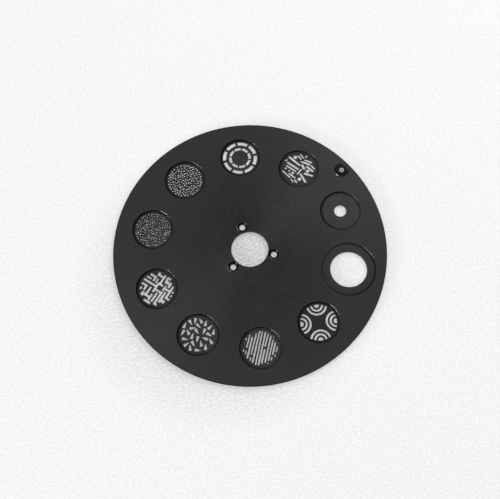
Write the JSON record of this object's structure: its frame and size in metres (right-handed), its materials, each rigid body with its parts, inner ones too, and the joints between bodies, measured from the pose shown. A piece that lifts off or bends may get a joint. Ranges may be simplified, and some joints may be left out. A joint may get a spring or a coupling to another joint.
{
  "type": "gobo wheel",
  "caption": "Static gobo wheel for a projector: thin black disc with a hub bore, one open position and seats holding perforated metal gobos.",
  "frame": {"origin": "centre of the hub bore on the underside, the face that the hub seats on", "axes": "+Z along the spin axis, towards the side that the gobos and rings are loaded from; +X to the right as the picture shows it, with the open position 14.3 degrees clockwise from it"},
  "size_m": [0.15, 0.15, 0.003],
  "materials": {
    "black_anodised_plate": "satin black anodised, fine grain",
    "blackened_gobo_steel": "matt black oxide on thin sheet",
    "black_spring_wire": "black oxide spring wire",
    "black_gloss_collar": "gloss black",
    "plated_magnet": "nickel plated, slightly dull"
  },
  "bodies": {
    "root": {"wheel_plate": "black_anodised_plate", "gobo_pinhole": "blackened_gobo_steel", "gobo_sticks": "blackened_gobo_steel", "gobo_dashed_rings": "blackened_gobo_steel", "gobo_dots": "blackened_gobo_steel", "gobo_fine_dots": "blackened_gobo_steel", "gobo_maze": "blackened_gobo_steel", "gobo_shards": "blackened_gobo_steel", "gobo_stripes": "blackened_gobo_steel", "gobo_corner_arcs": "blackened_gobo_steel", "ring_pinhole": "black_spring_wire", "ring_sticks": "black_spring_wire", "ring_dashed_rings": "black_spring_wire", "ring_dots": "black_spring_wire", "ring_fine_dots": "black_spring_wire", "ring_maze": "black_spring_wire", "ring_shards": "black_spring_wire", "ring_stripes": "black_spring_wire", "ring_corner_arcs": "black_spring_wire", "magnet_collar": "black_gloss_collar", "index_magnet": "plated_magnet"}
  },
  "joints": []
}
